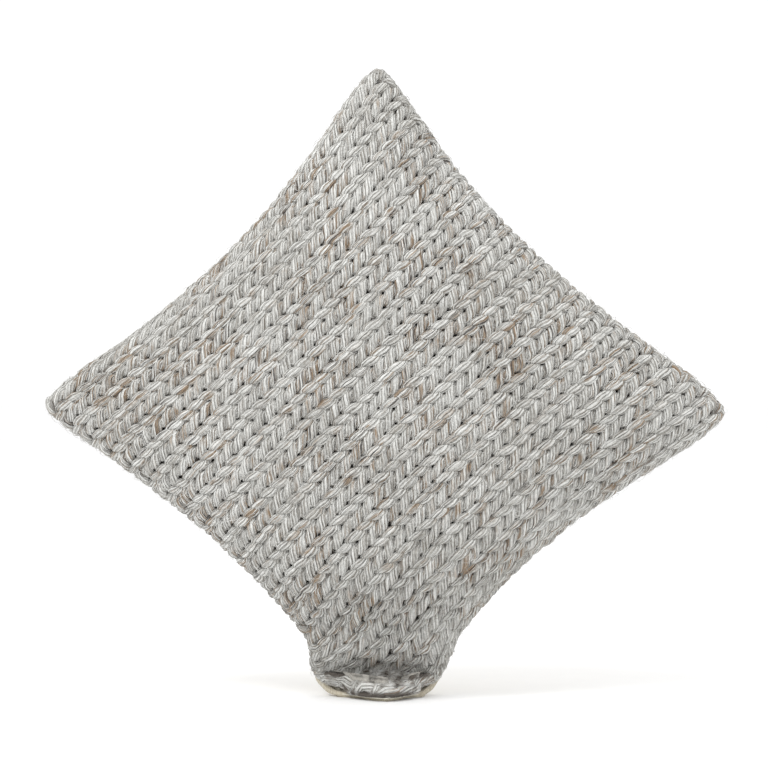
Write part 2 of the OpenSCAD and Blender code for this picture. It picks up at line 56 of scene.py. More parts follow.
class Wire:
    """A socket in a material, so that its maths reads as Python. One with no socket starts a material."""

    def __init__(self, tree, socket=None):
        self.tree, self.socket = tree, socket

    def node(self, kind, settings=None, inputs=None, out=0):
        made = self.tree.nodes.new(kind)
        for name, value in (settings or {}).items():
            if name == "stops":
                ramp = made.color_ramp.elements
                while len(ramp) < len(value):
                    ramp.new(0.5)
                for stop, (place, colour) in zip(ramp, value):
                    stop.position, stop.color = place, (*colour, 1)
            else:
                setattr(made, name, value)
        for name, value in (inputs or {}).items():
            if isinstance(value, Wire):
                self.tree.links.new(value.socket, made.inputs[name])
            else:
                made.inputs[name].default_value = value
        return Wire(self.tree, made.outputs[out])

    def maths(self, operation, *values):
        return self.node("ShaderNodeMath", {"operation": operation}, dict(enumerate(values)))

    def __add__(self, other):
        return self.maths("ADD", self, other)

    def __radd__(self, other):
        return self.maths("ADD", other, self)

    def __sub__(self, other):
        return self.maths("SUBTRACT", self, other)

    def __rsub__(self, other):
        return self.maths("SUBTRACT", other, self)

    def __mul__(self, other):
        return self.maths("MULTIPLY", self, other)

    def __rmul__(self, other):
        return self.maths("MULTIPLY", other, self)

    def blend(self, first, second):
        """Colour that goes from the first to the second as this value goes from 0 to 1."""
        return self.node("ShaderNodeMix", {"data_type": "RGBA"}, {0: self, 6: first, 7: second}, out=2)

    def fade(self, low, high):
        """0 below low, 1 above high, smooth between."""
        return self.node("ShaderNodeMapRange", {"interpolation_type": "SMOOTHSTEP", "clamp": True},
                         {0: self, 1: low, 2: high, 3: 0.0, 4: 1.0})

    def noise(self, scale, detail=2.0, rough=0.5, twist=0.0):
        return self.node("ShaderNodeTexNoise", {}, {"Vector": self, "Scale": scale, "Detail": detail,
                                                    "Roughness": rough, "Distortion": twist})


def new_material(name):
    material = bpy.data.materials.new(name)
    material.use_nodes = True
    material.node_tree.nodes.clear()
    return material, Wire(material.node_tree)


def surface(wire, height=None, depth=0.0005, strength=1.0, **inputs):
    """Ends a material in one shader, its bump given by a height and the depth of its relief in metres."""
    if height is not None:
        inputs["Normal"] = wire.node("ShaderNodeBump", {}, {"Strength": strength, "Distance": depth,
                                                            "Height": height})
    shader = wire.node("ShaderNodeBsdfPrincipled", {},
                       {name.replace("_", " "): value for name, value in inputs.items()})
    output = wire.tree.nodes.new("ShaderNodeOutputMaterial")
    wire.tree.links.new(shader.socket, output.inputs["Surface"])


floor_mesh = bmesh.new()
bmesh.ops.create_circle(floor_mesh, cap_ends=True, segments=96, radius=30)
floor = bpy.data.objects.new("floor", bpy.data.meshes.new("floor"))
floor_mesh.to_mesh(floor.data)
floor_mesh.free()
bpy.context.scene.collection.objects.link(floor)
floor_paint, wire = new_material("pale_floor")
speckle = wire.node("ShaderNodeTexCoord", out=3).noise(40)
surface(wire, Base_Color=speckle.blend((0.91, 0.91, 0.91, 1), (0.94, 0.94, 0.94, 1)), Roughness=0.9)
floor.data.materials.append(floor_paint)

world = bpy.data.worlds.new("studio")
bpy.context.scene.world = world
world.use_nodes = True
world.node_tree.nodes["Background"].inputs["Color"].default_value = (1, 1, 1, 1)
world.node_tree.nodes["Background"].inputs["Strength"].default_value = 1.08


def soft_box(name, place, target, size, power):
    light = bpy.data.lights.new(name, "AREA")
    light.shape, light.size, light.energy = "SQUARE", size, power
    lamp = bpy.data.objects.new(name, light)
    lamp.location = place
    lamp.rotation_euler = (Vector(target) - Vector(place)).to_track_quat("-Z", "Y").to_euler()
    bpy.context.scene.collection.objects.link(lamp)


soft_box("key_light", (-0.9, -1.5, 2.6), (0, 0, 0.25), 1.1, 42)
soft_box("back_light", (0.8, 2.0, 1.8), (0, 0, 0.25), 1.6, 5)


# ---------------------------------------------------------------- lining under the knit
# Thin grey cotton sewn in behind the knit, so that the stuffing doesn't show between the
# stitches. It follows the knit a centimetre below its face and is caught in the seam. Its dark
# colour is painted shade, for the gaps between the stitches.
half_side = 0.219
turn = math.radians(44.4)
lean = 0.03
tip_round = 0.008
tip_sharpness = 10
tip_reach = half_side - tip_round
tip_under = 0.043
middle_z = tip_reach * (math.sin(turn) + math.cos(turn)) - tip_under
fold_z = 0.025
fold_r = 0.022
neck_top = 0.120
neck_squeeze = 0.62
heel_back = 0.026
spread_top = 0.055
foot_spread = 0.35
foot_shift = 0.005
foot_top = 0.026
seam_wall = 0.04


def ease(t):
    t = np.clip(t, 0, 1)
    return t * t * (3 - 2 * t)


def stuffed(u, v):
    """Share of the pillow's thickness: 1 in the middle, 0 at the sides."""
    return np.maximum(0, (1 - u * u) * (1 - v * v)) ** 0.6


def pulled(depth, s, skew=0.0):
    return depth * np.maximum(0, 1 - s * s) ** 1.3 * (1 + skew * s)


def outline(u, v, side=half_side, rounding=tip_round, sharpness=tip_sharpness):
    """Place on the middle plane in the pillow's own axes, its sides pulled in between the tips."""
    pull_u = np.where(u > 0, pulled(0.026, v, 0.3), pulled(0.029, v))
    pull_v = np.where(v > 0, pulled(0.027, u), pulled(0.038, u, -0.35))
    short = rounding * np.abs(u * v) ** sharpness
    return u * side - pull_u * u ** 3 - np.sign(u) * short, \
        v * side - pull_v * v ** 3 - np.sign(v) * short


def standing(a, b):
    """Turns the square onto its corner: x and z."""
    rise = a * math.sin(turn) + b * math.cos(turn)
    return a * math.cos(turn) - b * math.sin(turn) - lean * rise, middle_z + rise


middle_x = (standing(-tip_reach, tip_reach)[0] + standing(tip_reach, -tip_reach)[0]) / 2
foot_x = standing(-tip_reach, -tip_reach)[0] - middle_x


def neck(z):
    return ease((neck_top - z) / (neck_top - fold_z))


def crushed(x, y, z, floor_z):
    """Squeezes the neck above the ground and folds the lowest tip forward onto it."""
    x = x - middle_x
    wide = ease((spread_top - z) / (2 * fold_z))
    below = np.maximum(0, fold_z - z)
    angle = np.minimum(math.pi / 2, below / fold_r)
    beyond = np.maximum(0, below - fold_r * math.pi / 2)
    height = np.where(below > 0, fold_z - fold_r * np.sin(angle), z)
    return np.stack([foot_x + (x - foot_x) * (1 + foot_spread * wide) - foot_shift * wide,
                     heel_back * neck(z) - fold_r * (1 - np.cos(angle)) - beyond + y * np.cos(angle),
                     np.maximum(floor_z, height - y * np.sin(angle))], -1)


def round_edge(p, q):
    """p and q kept on the cloth's face, and how far they turn round the pillow's edge, 0 to 1."""
    past = np.minimum(1, np.maximum(np.abs(p) - 1, np.abs(q) - 1).clip(0) / seam_wall)
    return np.clip(p, -1, 1), np.clip(q, -1, 1), past


def cover_point(p, q, seam_y, middle_y, floor_z, seam_end):
    """A layer of the cover. Past 1, p and q turn round the pillow's edge, from seam_y to seam_end."""
    u, v, past = round_edge(p, q)
    x, z = standing(*outline(u, v))
    share = stuffed(u, v) * (1 - neck_squeeze * neck(z))
    y = seam_y + (seam_end - seam_y) * past + (middle_y - seam_y) * share
    return crushed(x, y, z, floor_z)


knit_seam_y = -0.010
knit_seam_end = -0.002
knit_middle_y = -0.080
knit_floor = 0.0124
sag_out, sag_z, sag_spread = 0.0075, 0.042, 0.013
crease_in, crease_z, crease_spread = 0.0040, 0.0235, 0.005


def knit_face(p, q):
    """The knit's outer face, which sags over a crease where the tip folds under."""
    place = cover_point(p, q, knit_seam_y, knit_middle_y, knit_floor, knit_seam_end)
    sag = sag_out * np.exp(-((place[..., 2] - sag_z) / sag_spread) ** 2)
    crease = crease_in * np.exp(-((place[..., 2] - crease_z) / crease_spread) ** 2)
    place[..., 1] -= sag - crease
    return place


def uncrushed_face(p, q):
    """The knit before its lowest tip was crushed, which is where its stitches are even."""
    u, v, past = round_edge(p, q)
    a, b = outline(u, v)
    return np.stack([a, knit_seam_y - 0.070 * stuffed(u, v) + 0.008 * past, b], -1)


def evened(p, q, point, rounds):
    """Moves the lines of a grid until their crossings are evenly spaced over the cloth, as stitches are."""
    for _ in range(rounds):
        for lines in (0, 1):
            grid = np.stack([p, q], -1)
            place = point(p, q)
            if lines:
                grid, place = grid.swapaxes(0, 1), place.swapaxes(0, 1)
            fresh = grid.copy()
            for k in range(grid.shape[1]):
                run = np.r_[0, np.cumsum(np.linalg.norm(np.diff(place[:, k], axis=0), axis=1))]
                even = np.linspace(0, run[-1], len(run))
                for axis in (0, 1):
                    fresh[:, k, axis] = np.interp(even, run, grid[:, k, axis])
            fresh = fresh.swapaxes(0, 1) if lines else fresh
            p, q = fresh[..., 0], fresh[..., 1]
    return p, q


def outward(place):
    """Unit normals of a grid of points, smoothed a little."""
    normal = np.cross(np.gradient(place, axis=0), np.gradient(place, axis=1))
    normal /= np.maximum(1e-12, np.linalg.norm(normal, axis=-1, keepdims=True))
    for _ in range(2):
        wide = np.pad(normal, ((1, 1), (1, 1), (0, 0)), mode="edge")
        normal = (wide[1:-1, 1:-1] * 2 + wide[:-2, 1:-1] + wide[2:, 1:-1]
                  + wide[1:-1, :-2] + wide[1:-1, 2:])
        normal /= np.maximum(1e-12, np.linalg.norm(normal, axis=-1, keepdims=True))
    return normal


# Wales run up to the right, one stitch after another; courses run across them.
courses = 34
wales = 23
per_stitch = 4
reach = 1 + seam_wall
p_lines, q_lines = np.meshgrid(np.linspace(-reach, reach, courses * per_stitch + 1),
                               np.linspace(-reach, reach, wales * per_stitch + 1), indexing="ij")
p_lines, q_lines = evened(p_lines, q_lines, uncrushed_face, 10)
knit_place = knit_face(p_lines, q_lines)
knit_normal = outward(knit_place)


def cloth_piece(name, place, uv_size, thickness, material, body="cover"):
    """A sheet of cloth from a grid of points on its outer face, its thickness laid inwards."""
    rows, cols = place.shape[:2]
    sheet = bmesh.new()
    uv = sheet.loops.layers.uv.new("UVMap")
    bmesh.ops.create_grid(sheet, x_segments=cols - 1, y_segments=rows - 1, size=1)
    sheet.verts.ensure_lookup_table()
    corners = np.array([v.co[:2] for v in sheet.verts])
    col = np.rint((corners[:, 0] + 1) / 2 * (cols - 1)).astype(int)
    row = np.rint((corners[:, 1] + 1) / 2 * (rows - 1)).astype(int)
    for vert, r, c in zip(sheet.verts, row, col):
        vert.co = place[r, c]
    spot = {v.index: (r / (rows - 1) * uv_size[0], c / (cols - 1) * uv_size[1])
            for v, r, c in zip(sheet.verts, row, col)}
    for face in sheet.faces:
        face.smooth = True
        for loop in face.loops:
            loop[uv].uv = spot[loop.vert.index]
    piece = bpy.data.objects.new(name, bpy.data.meshes.new(name))
    sheet.to_mesh(piece.data)
    sheet.free()
    bpy.context.scene.collection.objects.link(piece)
    piece.data.materials.append(material)
    wall = piece.modifiers.new("thickness", "SOLIDIFY")
    wall.thickness, wall.offset = thickness, -1
    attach(piece, body)
    return piece


lining_cotton, wire = new_material("lining_cotton")
weft = wire.node("ShaderNodeUVMap", {"uv_map": "UVMap"})
threads = weft.node("ShaderNodeTexWave", {"wave_type": "BANDS", "bands_direction": "X"},
                    {"Vector": weft, "Scale": 400.0, "Distortion": 1.0})
# Dark brown-grey cloth: painted shade, seen through the gaps between the stitches.
cotton_painted_shade = threads.blend((0.15, 0.135, 0.115, 1), (0.24, 0.22, 0.195, 1))
spot = wire.node("ShaderNodeTexCoord", out=3)
above_floor = wire.node("ShaderNodeSeparateXYZ", {}, {0: spot}, out=2)
felted = 1 - (above_floor + spot.noise(300, 4, 0.7) * 0.02).fade(0.034, 0.050)
matted = spot.noise(700, 4, 0.75).blend((0.22, 0.20, 0.17, 1), (0.66, 0.64, 0.59, 1))
surface(wire, threads * 0.5 + spot.noise(500, 4, 0.7), 0.0006,
        Base_Color=felted.blend(cotton_painted_shade, matted), Roughness=0.95)
lining_under = 0.0100
lining_floor = 0.0035
lining_narrow = 0.20
lining_face = knit_place - knit_normal * lining_under
lining_face[..., 2] = np.maximum(lining_face[..., 2], lining_floor)
set_back = np.clip(1 - lining_face[..., 2] / foot_top, 0, 1)
lining_face[..., 0] = foot_x + (lining_face[..., 0] - foot_x) * (1 - lining_narrow * set_back)
lining = cloth_piece("lining", lining_face, (0.44, 0.44), 0.0004, lining_cotton)
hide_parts("front_lining")


# ---------------------------------------------------------------- knitted front
# Plain stocking stitch in very thick, loosely spun undyed wool. Each course is one yarn that
# runs across the front in loops, every loop drawn through the loop below it; the ends are sewn in.
yarn_r = 0.0047
hidden_r = 0.0022
loop_reach = 0.86
loop_width = 0.26
wave_depth = 0.0018
yarn_depth = 0.0055
rings_per_stitch = 18
courses_per_piece = 5
grain_shift = 37  # so that no two courses have the same grain
shuffle = np.random.default_rng(11)


def sample(grid, course, wale):
    """A grid's value at places counted in courses and wales, between its lines."""
    r = np.clip(course * per_stitch, 0, grid.shape[0] - 1.001)
    c = np.clip(wale * per_stitch, 0, grid.shape[1] - 1.001)
    r0, c0 = r.astype(int), c.astype(int)
    dr, dc = (r - r0)[:, None], (c - c0)[:, None]
    return (grid[r0, c0] * (1 - dr) * (1 - dc) + grid[r0 + 1, c0] * dr * (1 - dc)
            + grid[r0, c0 + 1] * (1 - dr) * dc + grid[r0 + 1, c0 + 1] * dr * dc)


def uneven(spread, steps):
    """Hand-made irregularity along a course: one value a stitch, smooth between them."""
    return np.interp(np.linspace(0, wales, steps), np.arange(wales + 1),
                     shuffle.normal(0, spread, wales + 1))


def course_path(course):
    """Points and thicknesses of one course's yarn."""
    steps = wales * rings_per_stitch + 1
    t = np.linspace(0, 2 * np.pi * wales, steps) - np.pi
    width = loop_width * (1 + uneven(0.10, steps))
    tall = loop_reach * (1 + uneven(0.07, steps))
    wale = (t + np.pi) / (2 * np.pi) + width * np.sin(2 * t) + uneven(0.025, steps)
    rise = course + 0.5 + tall * np.cos(t) + uneven(0.035, steps)
    wale = np.clip(wale, 0.12, wales - 0.12)
    rise = np.clip(rise, 0.16, courses - 0.16)
    leg = np.abs(np.sin(t)) ** 1.3
    thick = (hidden_r + (yarn_r - hidden_r) * leg) * (1 + 0.10 * np.cos(t)) * (1 + uneven(0.06, steps))
    depth = -yarn_depth - wave_depth * np.cos(2 * t) + uneven(0.0004, steps)
    place = sample(knit_place, rise, wale) + sample(knit_normal, rise, wale) * depth[:, None]
    place[:, 2] = np.maximum(place[:, 2], thick + 0.0030)
    return place, thick, depth, sample(knit_normal, rise, wale)


wool, wire = new_material("undyed_wool")
yarn_uv = wire.node("ShaderNodeSeparateXYZ", {}, {0: wire.node("ShaderNodeUVMap", {"uv_map": "UVMap"})})
around = Wire(wire.tree, yarn_uv.socket.node.outputs[1])
turned = (around + yarn_uv * 1.5) * (2 * math.pi)
strand = wire.node("ShaderNodeCombineXYZ", {}, {0: yarn_uv * 1.3, 1: wire.maths("COSINE", turned),
                                                2: wire.maths("SINE", turned)})
fibre = wire.node("ShaderNodeCombineXYZ", {}, {0: yarn_uv * 0.9, 1: wire.maths("COSINE", turned),
                                               2: wire.maths("SINE", turned)})
ply = strand.noise(1.9, 2, 0.6)
cord = wire.maths("SINE", turned * 9 + ply * 8) * 0.5 + 0.5
hair = fibre.noise(3.4, 4, 0.75)
streak = fibre.noise(7.0, 3, 0.7)
lint = wire.node("ShaderNodeTexCoord", out=3).noise(380, 5, 0.8)
groove_bump_and_shade = cord.fade(0.0, 0.4)
dye = wire.node("ShaderNodeTexCoord", out=3).noise(13, 3, 0.6)
# The groove term darkens the crevices between the plies: painted shade.
tone = ply * 0.22 + hair * 0.32 + streak * 0.12 + lint * 0.26 + groove_bump_and_shade * 0.06 + dye * 0.14 - 0.060
grey = tone.node("ShaderNodeValToRGB", {"stops": [
    (0.36, (0.090, 0.078, 0.062)), (0.42, (0.250, 0.232, 0.198)), (0.48, (0.475, 0.468, 0.438)),
    (0.56, (0.755, 0.757, 0.728)), (0.68, (0.910, 0.912, 0.892))]}, {0: tone})
tufts = wire.node("ShaderNodeTexCoord", out=3).noise(26, 3, 0.6).fade(0.43, 0.58)
brown = fibre.noise(1.2, 4, 0.8, 0.6).fade(0.52, 0.575) * (tufts * 0.78 + 0.10)
dark = fibre.noise(2.2, 3, 0.65).fade(0.575, 0.63) * (tufts * 0.55 + 0.40)
leg_phase_for_shade = wire.maths("ABSOLUTE", wire.maths("SINE", yarn_uv * (2 * math.pi)))
shade = dark.blend(brown.blend(grey, (0.245, 0.150, 0.070, 1)), (0.040, 0.029, 0.023, 1))
# Painted shade: the loops' turns, where they pass behind other yarn, are darkened to brown.
shade = leg_phase_for_shade.fade(0.05, 0.55).blend((0.13, 0.105, 0.08, 1), shade)
raised = wire.node("ShaderNodeAttribute", {"attribute_name": "raised"}, out=2)
# Painted shade: yarn that lies deep, away from the knit's face, is darkened to near black.
shade = (raised + lint * 0.25 - 0.12).fade(0.30, 0.80).blend((0.075, 0.058, 0.043, 1), shade)
surface(wire, groove_bump_and_shade * 0.8 + hair * 0.7 + lint * 0.25, 0.0028, 1.0, Base_Color=shade,
        Roughness=0.95, Sheen_Weight=0.2, Sheen_Roughness=0.6, Sheen_Tint=(0.95, 0.93, 0.9, 1))

for first in range(0, courses, courses_per_piece):
    members = range(first, min(first + courses_per_piece, courses))
    joined = bmesh.new()
    for course in members:
        place, thick, depth, normal = course_path(course)
        curve = bpy.data.curves.new("yarn", "CURVE")
        curve.dimensions, curve.bevel_depth, curve.bevel_resolution = "3D", 1.0, 3
        curve.use_fill_caps = True
        spline = curve.splines.new("POLY")
        spline.points.add(len(place) - 1)
        spline.points.foreach_set("co", np.c_[place, np.ones(len(place))].ravel())
        spline.points.foreach_set("radius", thick)
        holder = bpy.data.objects.new("yarn", curve)
        bpy.context.scene.collection.objects.link(holder)
        tube = bpy.data.meshes.new_from_object(holder.evaluated_get(
            bpy.context.evaluated_depsgraph_get()))
        bpy.data.objects.remove(holder)
        bpy.data.curves.remove(curve)
        ring = len(tube.vertices) // len(place)
        spots = np.zeros(len(tube.vertices) * 3)
        tube.vertices.foreach_get("co", spots)
        side_count = ring * len(place)
        offset = spots.reshape(-1, 3)[:side_count] - np.repeat(place, ring, axis=0)
        height = np.full(len(tube.vertices), -yarn_depth)
        height[:side_count] = (offset * np.repeat(normal, ring, axis=0)).sum(1) + np.repeat(depth, ring)
        # How far out of the knit each point of the yarn stands; the wool uses it to paint shade where the
        # yarn lies deep.
        raised = tube.attributes.new("raised", "FLOAT", "POINT")
        raised.data.foreach_set("value", np.clip(height / (yarn_depth + yarn_r) + 1, 0, 1))
        uv = tube.uv_layers[0].data
        along = np.zeros(len(uv) * 2)
        uv.foreach_get("uv", along)
        along[0::2] = along[0::2] * wales + course * grain_shift
        uv.foreach_set("uv", along)
        joined.from_mesh(tube)
        bpy.data.meshes.remove(tube)
    for face in joined.faces:
        face.smooth = True
    piece = bpy.data.objects.new(f"knit_courses_{first + 1}_to_{members[-1] + 1}",
                                 bpy.data.meshes.new("knit_courses"))
    joined.to_mesh(piece.data)
    joined.free()
    bpy.context.scene.collection.objects.link(piece)
    piece.data.materials.append(wool)
    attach(piece, "cover")
    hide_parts("knit_front")


# ---------------------------------------------------------------- fuzz on the knit
# Loose ends of wool that stand out of the yarn and catch the light along the pillow's edge.
hair_count = 7000
hair_r = 0.00013
hair_knots = 4
foot_hairs = 1700
course_high = 0.013
wale_wide = 0.019


def strands(name, paths, resolution, material, body="cover"):
    """One piece of many threads, each given as points and as radii along it."""
    curve = bpy.data.curves.new(name, "CURVE")
    curve.dimensions, curve.bevel_depth, curve.bevel_resolution = "3D", 1.0, resolution
    curve.use_fill_caps = True
    for points, radii in paths:
        spline = curve.splines.new("POLY")
        spline.points.add(len(points) - 1)
        spline.points.foreach_set("co", np.c_[points, np.ones(len(points))].ravel())
        spline.points.foreach_set("radius", np.broadcast_to(radii, len(points)).astype(float))
    holder = bpy.data.objects.new(name, curve)
    bpy.context.scene.collection.objects.link(holder)
    mesh = bpy.data.meshes.new_from_object(holder.evaluated_get(bpy.context.evaluated_depsgraph_get()))
    bpy.data.objects.remove(holder)
    mesh.materials.clear()
    mesh.materials.append(material)
    mesh.polygons.foreach_set("use_smooth", [True] * len(mesh.polygons))
    piece = bpy.data.objects.new(name, mesh)
    bpy.context.scene.collection.objects.link(piece)
    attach(piece, body)
    return piece


loose_wool, wire = new_material("loose_wool")
tint = wire.node("ShaderNodeTexCoord", out=3).noise(90, 2)
surface(wire, Base_Color=tint.node("ShaderNodeValToRGB", {"stops": [
    (0.36, (0.10, 0.08, 0.06)), (0.45, (0.45, 0.43, 0.40)), (0.62, (0.85, 0.85, 0.83))]}, {0: tint}),
    Roughness=0.9, Sheen_Weight=0.2)
hairs = []
for k in range(hair_count):
    near_foot = k < foot_hairs
    course = shuffle.uniform(0.2, 5 if near_foot else courses - 0.2)
    wale = shuffle.uniform(0.2, 3.5 if near_foot else wales - 0.2)
    length = shuffle.uniform(0.005, 0.011)
    bend = shuffle.normal(0, 1.6)
    lift = shuffle.uniform(0.0004, 0.0024)
    t = np.linspace(0, 1, hair_knots)
    angle = shuffle.uniform(0, 2 * np.pi) + bend * t
    step = length / (hair_knots - 1)
    across = np.r_[0, np.cumsum(np.cos(angle[1:]) * step)]
    along = np.r_[0, np.cumsum(np.sin(angle[1:]) * step)]
    r, c = course + along / course_high, wale + across / wale_wide
    above = -0.0015 + lift * np.sin(np.pi * (0.15 + 0.6 * t)) * 2
    place = sample(knit_place, r, c) + sample(knit_normal, r, c) * above[:, None]
    place[:, 2] = np.maximum(place[:, 2], 0.001)
    hairs.append((place, hair_r * np.linspace(1, 0.35, hair_knots)))
fluff = strands("knit_fuzz", hairs, 0, loose_wool)


# ---------------------------------------------------------------- back of the cover
# Two parts of cream cotton canvas, cut along the zip. Their edges turn in to the seam round
# the pillow, and fold under where they are topstitched to the zip's tapes.
zip_tilt = math.radians(24)
zip_margin = 0.049
zip_half = half_side - zip_margin
zip_bow = 0.022
zip_r = (zip_half ** 2 + zip_bow ** 2) / (2 * zip_bow)
zip_mid = 0.722248  # v of the chain at its middle
tape_w = 0.015
tape_past = 0.009
opening = 0.014
canvas_t = 0.002
layer_gap = 0.0003
back_seam_y = 0.003
back_crown = 0.077
turned_in = 0.0045
zip_place = np.array(standing(0.0, 0.148))
along_angle = math.atan2(math.sin(turn), math.cos(turn) - lean * math.sin(turn))
zip_along = np.array([math.cos(along_angle), math.sin(along_angle)])
zip_across = np.array([-math.sin(along_angle), math.cos(along_angle)])


def zip_offset(u, v):
    """How far a place on the cover lies along and across from the zip's middle, seen from the back."""
    x, z = standing(*outline(u, v))
    dx, dz = x - zip_place[0], z - zip_place[1]
    return dx * zip_along[0] + dz * zip_along[1], dx * zip_across[0] + dz * zip_across[1]


def beside_zip(u, distance):
    """v of a line that runs beside the zip at a distance from it."""
    v = np.full(np.shape(u), zip_mid)
    drop = sagged(zip_offset(u, v)[0], 0) * math.sin(zip_tilt)
    for _ in range(8):
        v = v + (drop + distance * math.cos(zip_tilt) - zip_offset(u, v)[1]) / half_side
    return v


def sagged(reach, rise):
    """Height of the arc that the chain bows in, over its ends' level."""
    return np.sqrt((zip_r + rise) ** 2 - np.minimum(reach, 0.6) ** 2) - zip_r


zip_y = back_seam_y + back_crown * stuffed(0.0, zip_mid) - (layer_gap + canvas_t) / math.cos(zip_tilt)
flat_end = np.array([zip_offset(np.array(1.0), np.array(zip_mid))[0],
                     -zip_offset(np.array(-1.0), np.array(zip_mid))[0]]).min()
end_blend = flat_end - zip_half - tape_past - 0.002


def back_face(p, q):
    """Outer face of the back cloth, flat over the zip's tapes."""
    u, v, past = round_edge(p, q)
    a, b = outline(u, v)
    shrink = 1 - turned_in * past ** 1.5 / half_side
    x, z = standing(a * shrink, b * shrink)
    free = back_seam_y - turned_in * np.sin(past * np.pi / 2) \
        + back_crown * stuffed(u, v) * (1 - neck_squeeze * neck(z))
    off_along, off_across = zip_offset(u, v)
    over = (off_across - sagged(off_along, 0) * math.sin(zip_tilt)) / math.cos(zip_tilt)
    away = np.maximum(ease((np.abs(over) - tape_w - 0.004) / 0.028),
                      ease((np.abs(off_along) - zip_half - tape_past) / end_blend))
    away = np.maximum(away, ease((np.abs(u) - 0.97) / 0.028))
    sewn = zip_y - off_across * math.tan(zip_tilt) \
        + sagged(off_along, layer_gap + canvas_t) / math.cos(zip_tilt)
    y = np.where(away >= 1, free, free * away + sewn * (1 - away))
    return crushed(x, y, z, 0.0)


canvas, wire = new_material("cream_canvas")
weft = wire.node("ShaderNodeUVMap", {"uv_map": "UVMap"})
warp_x = weft.node("ShaderNodeTexWave", {"bands_direction": "X"},
                   {"Vector": weft, "Scale": 145.0, "Distortion": 0.6, "Detail": 1.0, "Detail Scale": 0.4})
warp_y = weft.node("ShaderNodeTexWave", {"bands_direction": "Y"},
                   {"Vector": weft, "Scale": 145.0, "Distortion": 0.6, "Detail": 1.0, "Detail Scale": 0.4})
weave = (warp_x + warp_y) * 0.5
slub_x = weft.node("ShaderNodeMapping", {}, {"Vector": weft, "Scale": (18.0, 700.0, 1.0)}).noise(1.0, 3)
slub_y = weft.node("ShaderNodeMapping", {}, {"Vector": weft, "Scale": (700.0, 18.0, 1.0)}).noise(1.0, 3)
patch = weft.noise(14.0, 3)
cream = weave.blend((0.40, 0.35, 0.255, 1), (0.61, 0.56, 0.45, 1))
slubs = (slub_x + slub_y) * 0.5
cream = slubs.fade(0.50, 0.66).blend(cream, (0.68, 0.64, 0.54, 1))
cream = (patch.fade(0.40, 0.70) * 0.22).blend(cream, (0.50, 0.44, 0.33, 1))
surface(wire, weave * 0.7 + slubs * 0.9, 0.0004, 0.9, Base_Color=cream, Roughness=0.9,
        Sheen_Weight=0.12, Sheen_Roughness=0.5)

edge_steps = np.array([0.0, 0.0006, 0.0016, 0.0025, 0.0034, 0.0048, 0.0066, 0.0078, 0.0090])
edge_rise = np.array([-0.0006, 0.0000, 0.0003, 0.0000, 0.0004, 0.0005, 0.0005, 0.0003, 0.0])
u_lines = np.concatenate([np.linspace(-reach, -1, 4)[:-1], np.linspace(-1, 1, 110),
                          np.linspace(1, reach, 4)[1:]])
u_inner = np.clip(u_lines, -1, 1)
off_end = np.abs(zip_offset(u_inner, np.full(u_inner.shape, zip_mid))[0])
half_open = np.where(off_end <= zip_half + 0.001, opening / 2, 0.00015)
narrow_left, narrow_right = 0.22, 0.32


def back_part(name, side):
    """One part of the back: side -1 below the zip, 1 above it."""
    near = [beside_zip(u_inner, side * (half_open + d)) for d in edge_steps]
    rest = (np.linspace(0, 1, 88 if side < 0 else 30)[1:] ** 1.15)[:, None]
    far = near[-1] + (side - near[-1]) * rest
    wall = np.linspace(1, reach, 4)[1:, None] * side * np.ones_like(u_lines)
    v_grid = np.concatenate([np.stack(near), far, wall])
    u_grid = np.broadcast_to(u_lines, v_grid.shape)
    place = back_face(u_grid, v_grid)
    normal = outward(place)
    if normal[len(normal) // 2, 60, 1] < 0:
        normal = -normal
    span = np.maximum(np.abs(u_grid), np.abs(v_grid))
    rim = np.exp(-np.maximum(0, 1 - span) * half_side / 0.016) * (span < 1.02)
    run = np.where(np.abs(u_grid) > np.abs(v_grid), v_grid, u_grid) * half_side
    pucker = np.sin(run / 0.0029 + 2.0 * np.sin(run / 0.021)) * 0.6 + np.sin(run / 0.0047 + 1.0) * 0.4
    slack = np.sin(u_grid * 9 + 2 * v_grid) * np.sin(v_grid * 7 - 1.5 * u_grid) * 0.0006
    lift = pucker * rim * 0.0006 - np.abs(rim) * 0.0004 + slack * (1 - rim)
    rows_near = len(edge_steps)
    open_here = np.where(off_end <= zip_half + 0.004, 1.0, 0.35)
    lift[:rows_near] = edge_rise[:, None] * open_here
    fade_in = ease(np.linspace(0, 1, 10))[:, None]
    lift[rows_near:rows_near + 10] *= fade_in
    place = place + normal * lift[..., None]
    near_ground = np.clip(1 - place[..., 2] / foot_top, 0, 1)
    ragged = 1 + 0.35 * np.sin(place[..., 0] / 0.0061) + 0.25 * np.sin(place[..., 0] / 0.0027 + 1)
    front = place[..., 1] < 0.002
    narrow = 1 - near_ground * np.where(place[..., 0] > foot_x, narrow_right, narrow_left)
    place[..., 0] = np.where(front, foot_x + (place[..., 0] - foot_x) * narrow, place[..., 0])
    step_back = 0.0030 * near_ground * ragged * np.clip(-place[..., 1] / 0.02, 0, 1)
    place[..., 1] = np.where(front, place[..., 1] + step_back, place[..., 1])
    place[..., 2] = np.maximum(place[..., 2], 0.0)
    if side > 0:
        place = place[::-1]
    return cloth_piece(name, place, (0.45 * (0.86 if side < 0 else 0.14), 0.45), canvas_t * 0.9, canvas)


back_lower = back_part("back_lower", -1)
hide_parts("back_main")
back_upper = back_part("back_upper", 1)
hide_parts("back_strip")


# ---------------------------------------------------------------- seam round the cover
# Front and back are lockstitched together inside out, and the raw edges are bound in cotton
# tape. Both lie inside the edge once the cover is turned, so they keep the frame's own shape.
def cad_finish(material, *names):
    for name in names:
        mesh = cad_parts[name].data
        mesh.materials.clear()
        mesh.materials.append(material)


